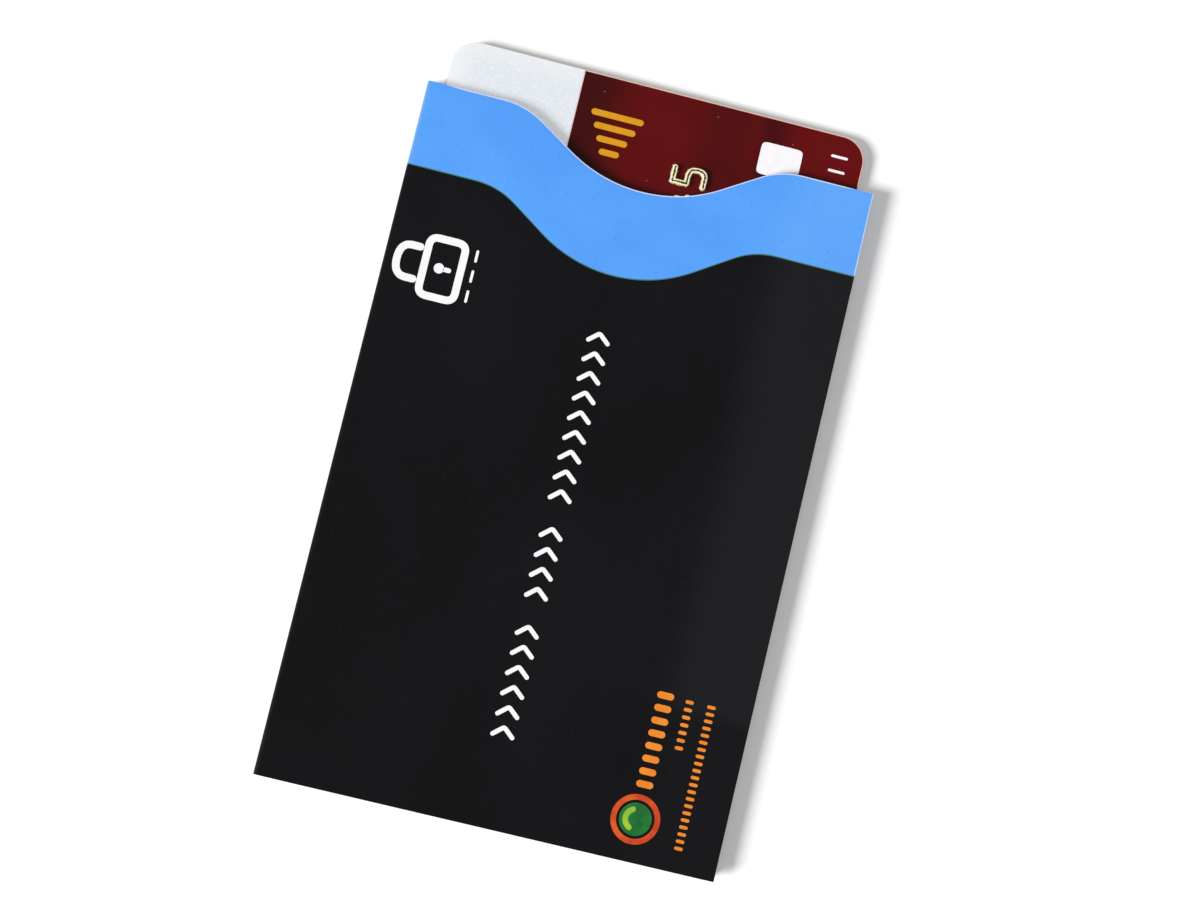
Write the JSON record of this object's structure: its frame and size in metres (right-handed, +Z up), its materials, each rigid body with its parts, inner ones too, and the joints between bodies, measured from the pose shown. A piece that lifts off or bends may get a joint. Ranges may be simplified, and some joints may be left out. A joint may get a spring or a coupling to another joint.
{
  "type": "card sleeve",
  "caption": "Flat folded paper and foil sleeve with a thumb notch at its mouth, holding a plastic card that slides in and out.",
  "frame": {"origin": "centre of the back panel's outer face, which is the face the sleeve lies on", "axes": "+X across the sleeve from the folded spine to the side seam, +Y along it towards the mouth, +Z up out of the front panel"},
  "size_m": [0.0582, 0.0953, 0.002],
  "materials": {
    "printed_board": "satin coated print, black with a blue band at the mouth",
    "bare_board": "uncoated board",
    "foil": "bright rolled foil",
    "liner_film": "milky film",
    "glue": "dried glue",
    "card_face": "gloss film over a dark red and silver print",
    "card_core": "sheet edge, satin",
    "card_back": "gloss film over a plain silver print",
    "antenna_metal": "etched copper",
    "gold_foil": "bright plated",
    "carrier_tape": "glass fibre tape",
    "resin": "moulded resin",
    "stripe": "satin magnetic coating",
    "signature_strip": "matt writable film"
  },
  "bodies": {
    "sleeve": {"front_panel": "printed_board", "back_panel": "printed_board", "spine_fold": "printed_board", "side_fold": "printed_board", "side_glue_flap": "bare_board", "end_fold": "printed_board", "end_glue_flap": "bare_board", "foil_shield": "foil", "inner_liner": "liner_film", "side_seam_glue": "glue", "end_seam_glue": "glue"},
    "card": {"card_front_overlay": "card_face", "card_front_core": "card_core", "card_inlay": "card_core", "card_antenna": "antenna_metal", "card_back_core": "card_core", "card_back_overlay": "card_back", "raised_digits": "card_face", "digit_tipping": "gold_foil", "chip_contacts": "gold_foil", "chip_carrier": "carrier_tape", "chip_resin": "resin", "magnetic_stripe": "stripe", "signature_panel": "signature_strip"}
  },
  "joints": [
    {"name": "card_slide", "type": "slide", "parent": "sleeve", "child": "card", "axis": [0, 1, 0], "range_m": [-0.009, 0.08]}
  ]
}
